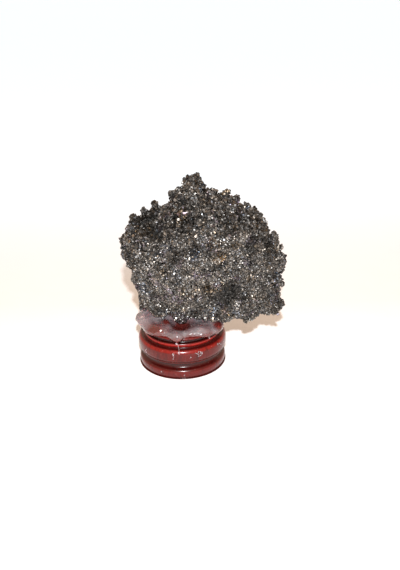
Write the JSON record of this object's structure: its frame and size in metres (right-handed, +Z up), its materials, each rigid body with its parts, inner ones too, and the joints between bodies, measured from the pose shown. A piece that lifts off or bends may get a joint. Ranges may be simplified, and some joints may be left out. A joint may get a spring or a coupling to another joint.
{
  "type": "silicon carbide crystal cluster on a turned stand",
  "caption": "Rough upright slab of fused dark crystals, glued by its lower edge to a low round turned wooden stand.",
  "frame": {"origin": "centre of the stand's flat underside", "axes": "+Z up, through the middle of the turned stand; the cluster's broad broken face looks along -Y and its overhanging side is towards +X"},
  "size_m": [0.089, 0.049, 0.106],
  "materials": {
    "lacquered_wood": "turned, dark red gloss lacquer",
    "clear_glue": "clear hot-melt glue, glossy, faintly lilac",
    "crystal": "dark grey crystals with a metallic lustre and tarnish colours"
  },
  "bodies": {
    "root": {"stand": "lacquered_wood", "glue": "clear_glue", "specimen": "crystal"}
  },
  "joints": []
}
